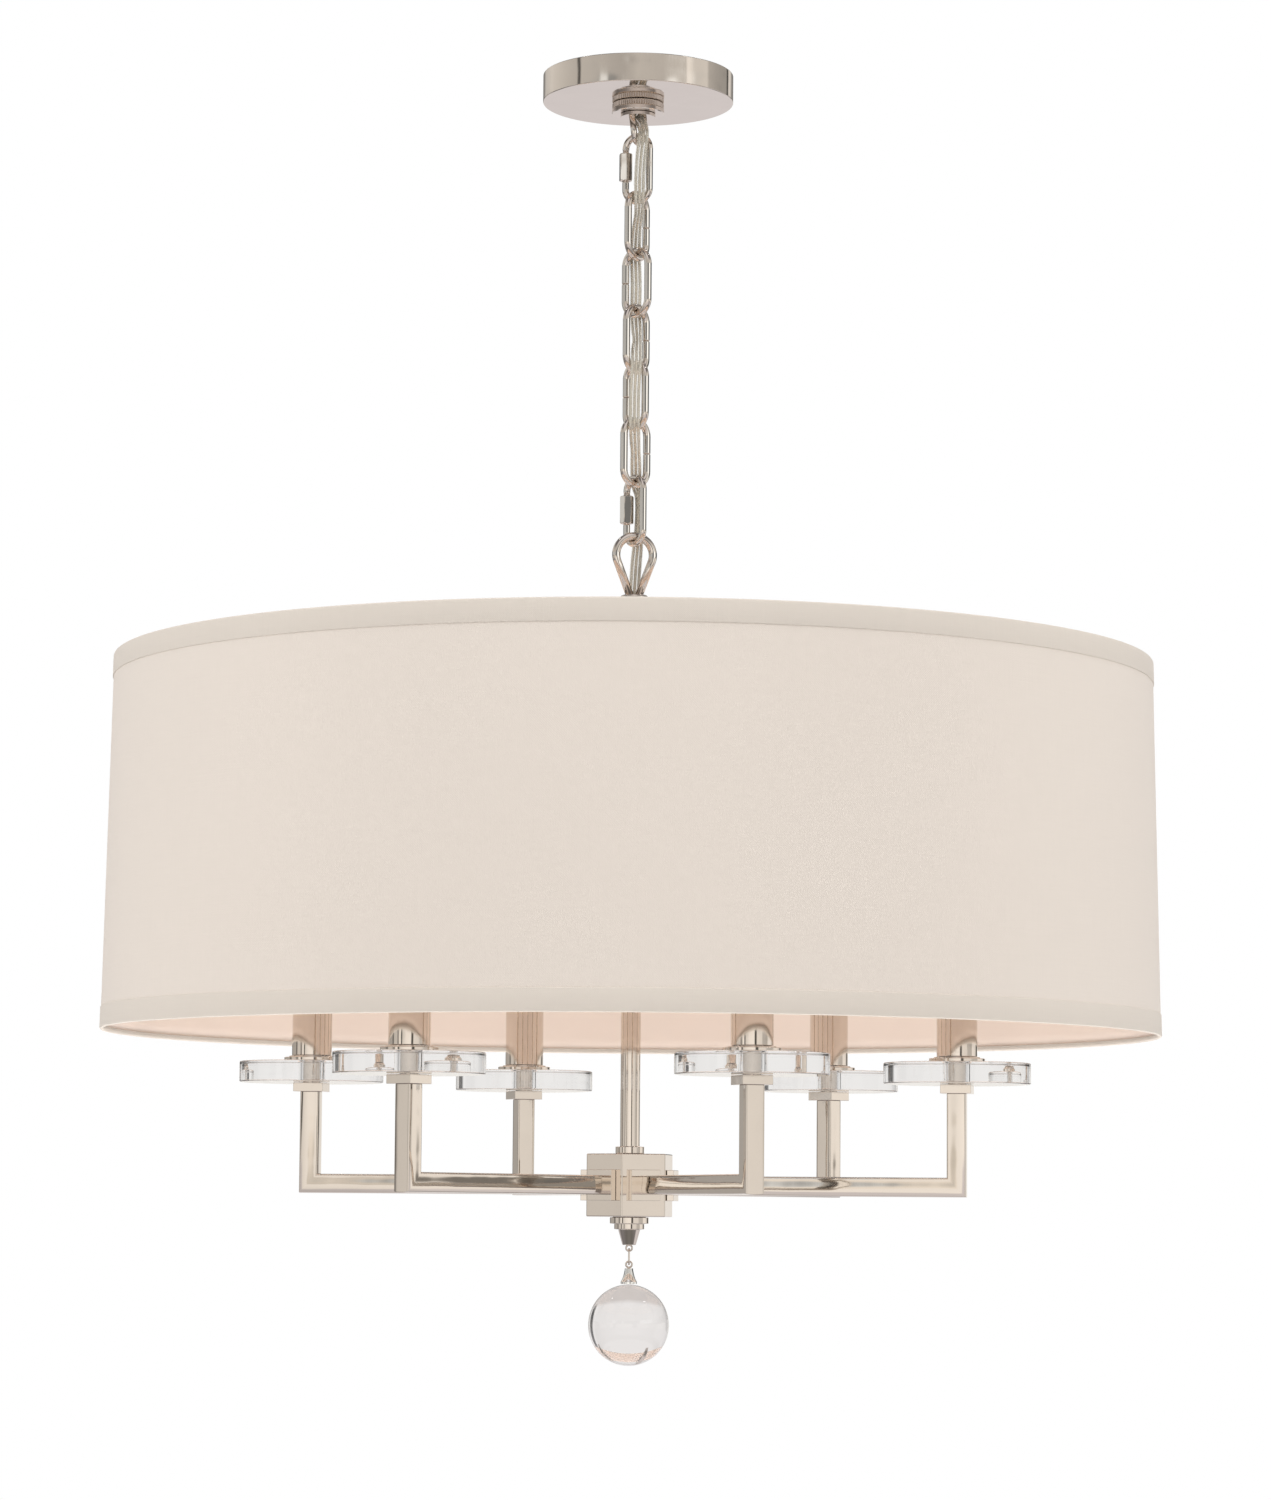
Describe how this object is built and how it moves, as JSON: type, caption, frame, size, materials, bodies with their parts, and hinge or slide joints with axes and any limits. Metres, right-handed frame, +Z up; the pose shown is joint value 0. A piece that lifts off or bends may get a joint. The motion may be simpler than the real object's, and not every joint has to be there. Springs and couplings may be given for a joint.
{
  "type": "chandelier",
  "caption": "Drum-shade chandelier on a short chain, with candle lights on square arms, glass discs and a hanging glass ball.",
  "frame": {"origin": "centre of the ceiling plane, where the strap and the canopy meet the ceiling", "axes": "+Z up into the ceiling along the chain and stem; the picture was taken from the -Y side, with +X to the right"},
  "size_m": [0.762, 0.762, 0.9427],
  "materials": {
    "strap_steel": "zinc plated",
    "canopy_nickel": "polished nickel",
    "ring_nickel": "polished nickel, knurled",
    "loop_nickel": "polished nickel",
    "quick_link_nickel": "polished nickel",
    "nut_nickel": "polished nickel",
    "chain_nickel": "polished nickel",
    "cord_jacket": "clear, with silvery strands",
    "stem_nickel": "polished nickel",
    "spider_steel": "white enamel",
    "shade_cloth": "woven, off-white, on a stiff liner",
    "hub_nickel": "polished nickel",
    "arm_nickel": "polished nickel",
    "disc_glass": "clear, polished",
    "plate_nickel": "polished nickel",
    "sleeve_nickel": "polished nickel",
    "socket_phenolic": "moulded phenolic",
    "bulb_glass": "frosted glass on a brass cap",
    "finial_nickel": "polished nickel",
    "ball_glass": "clear, polished"
  },
  "bodies": {
    "ceiling_mount": {"ceiling_strap": "strap_steel", "canopy": "canopy_nickel", "canopy_loop": "loop_nickel", "power_cord": "cord_jacket"},
    "collar_ring": {"collar_ring": "ring_nickel"},
    "upper_quick_link": {"upper_quick_link": "quick_link_nickel"},
    "upper_quick_link_nut": {"upper_quick_link_nut": "nut_nickel"},
    "chain_link_1": {"chain_link_1": "chain_nickel"},
    "chain_link_2": {"chain_link_2": "chain_nickel"},
    "chain_link_3": {"chain_link_3": "chain_nickel"},
    "chain_link_4": {"chain_link_4": "chain_nickel"},
    "chain_link_5": {"chain_link_5": "chain_nickel"},
    "lower_quick_link": {"lower_quick_link": "quick_link_nickel"},
    "lower_quick_link_nut": {"lower_quick_link_nut": "nut_nickel"},
    "fixture": {"stem_loop": "loop_nickel", "stem_tube": "stem_nickel", "shade_spider": "spider_steel", "shade_nut": "nut_nickel", "shade_drum": "shade_cloth", "hub_body": "hub_nickel", "finial": "finial_nickel", "arm_1": "arm_nickel", "arm_2": "arm_nickel", "arm_3": "arm_nickel", "arm_4": "arm_nickel", "arm_5": "arm_nickel", "arm_6": "arm_nickel", "glass_disc_1": "disc_glass", "glass_disc_2": "disc_glass", "glass_disc_3": "disc_glass", "glass_disc_4": "disc_glass", "glass_disc_5": "disc_glass", "glass_disc_6": "disc_glass", "candle_plate_1": "plate_nickel", "candle_plate_2": "plate_nickel", "candle_plate_3": "plate_nickel", "candle_plate_4": "plate_nickel", "candle_plate_5": "plate_nickel", "candle_plate_6": "plate_nickel", "candle_sleeve_1": "sleeve_nickel", "candle_sleeve_2": "sleeve_nickel", "candle_sleeve_3": "sleeve_nickel", "candle_sleeve_4": "sleeve_nickel", "candle_sleeve_5": "sleeve_nickel", "candle_sleeve_6": "sleeve_nickel", "lamp_socket_1": "socket_phenolic", "lamp_socket_2": "socket_phenolic", "lamp_socket_3": "socket_phenolic", "lamp_socket_4": "socket_phenolic", "lamp_socket_5": "socket_phenolic", "lamp_socket_6": "socket_phenolic", "bulb_1": "bulb_glass", "bulb_2": "bulb_glass", "bulb_3": "bulb_glass", "bulb_4": "bulb_glass", "bulb_5": "bulb_glass", "bulb_6": "bulb_glass"},
    "ball_link": {"ball_link": "finial_nickel"},
    "ball": {"ball_cap": "finial_nickel", "glass_ball": "ball_glass"}
  },
  "joints": [
    {"name": "collar_ring_turn", "type": "hinge", "parent": "ceiling_mount", "child": "collar_ring", "pos_m": [0, 0, -0.0208], "axis": [0, 0, 1], "continuous": true},
    {"name": "upper_quick_link_swing", "type": "hinge", "parent": "ceiling_mount", "child": "upper_quick_link", "pos_m": [0, 0, -0.0501], "axis": [0.4695, 0.8829, 0], "range_deg": [-40, 40], "deforming": ["power_cord"]},
    {"name": "upper_quick_link_nut_slide", "type": "slide", "parent": "upper_quick_link", "child": "upper_quick_link_nut", "axis": [0, 0, -1], "range_m": [0, 0.0064]},
    {"name": "chain_link_1_swing", "type": "hinge", "parent": "upper_quick_link", "child": "chain_link_1", "pos_m": [0, 0, -0.094], "axis": [0.9397, -0.342, 0], "range_deg": [-40, 40]},
    {"name": "chain_link_2_swing", "type": "hinge", "parent": "chain_link_1", "child": "chain_link_2", "pos_m": [0, 0, -0.1363], "axis": [-0.6157, -0.788, 0], "range_deg": [-40, 40]},
    {"name": "chain_link_3_swing", "type": "hinge", "parent": "chain_link_2", "child": "chain_link_3", "pos_m": [0, 0, -0.1784], "axis": [-0.766, 0.6428, 0], "range_deg": [-40, 40]},
    {"name": "chain_link_4_swing", "type": "hinge", "parent": "chain_link_3", "child": "chain_link_4", "pos_m": [0, 0, -0.2205], "axis": [0.6691, 0.7431, 0], "range_deg": [-40, 40]},
    {"name": "chain_link_5_swing", "type": "hinge", "parent": "chain_link_4", "child": "chain_link_5", "pos_m": [0, 0, -0.2626], "axis": [0.6428, -0.766, 0], "range_deg": [-40, 40]},
    {"name": "lower_quick_link_swing", "type": "hinge", "parent": "chain_link_5", "child": "lower_quick_link", "pos_m": [0, 0, -0.3047], "axis": [-0.7771, -0.6293, 0], "range_deg": [-40, 40]},
    {"name": "lower_quick_link_nut_slide", "type": "slide", "parent": "lower_quick_link", "child": "lower_quick_link_nut", "axis": [0, 0, -1], "range_m": [0, 0.0064]},
    {"name": "fixture_swing", "type": "hinge", "parent": "lower_quick_link", "child": "fixture", "pos_m": [0, 0, -0.3482], "axis": [-0.6428, 0.766, 0], "range_deg": [-40, 40]},
    {"name": "ball_link_swing", "type": "hinge", "parent": "fixture", "child": "ball_link", "pos_m": [0, 0, -0.8609], "axis": [1, 0, 0], "range_deg": [-45, 45]},
    {"name": "ball_swing", "type": "hinge", "parent": "ball_link", "child": "ball", "pos_m": [0, 0, -0.8705], "axis": [0, 1, 0], "range_deg": [-45, 45]}
  ]
}
